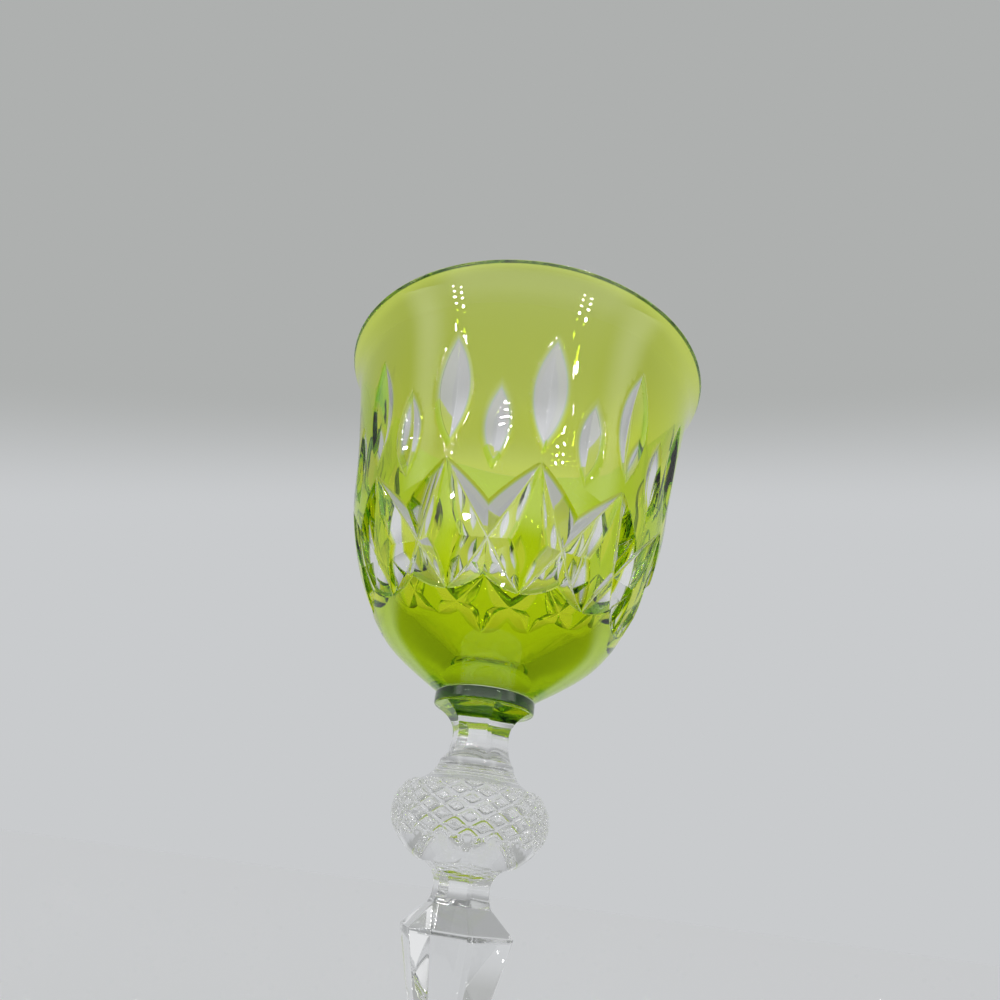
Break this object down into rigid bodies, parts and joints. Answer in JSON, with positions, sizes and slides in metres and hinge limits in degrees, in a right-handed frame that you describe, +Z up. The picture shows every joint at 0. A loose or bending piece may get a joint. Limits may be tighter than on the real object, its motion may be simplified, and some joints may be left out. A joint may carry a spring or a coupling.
{
  "type": "wine goblet",
  "caption": "Stemmed wine goblet with a flared bowl, coloured casing cut through to clear crystal, six-sided stem with a diamond-cut knop, and a round foot.",
  "frame": {"origin": "centre of the foot's standing plane", "axes": "+Z up along the stem, -Y towards the front"},
  "size_m": [0.08, 0.08, 0.1486],
  "materials": {
    "clear_crystal": "polished clear crystal",
    "green_crystal": "polished yellow-green casing"
  },
  "bodies": {
    "root": {"bowl_lining": "clear_crystal", "bowl_casing": "green_crystal", "merese": "clear_crystal", "stem_neck": "clear_crystal", "diamond_knop": "clear_crystal", "stem_baluster": "clear_crystal", "foot": "clear_crystal"}
  },
  "joints": []
}
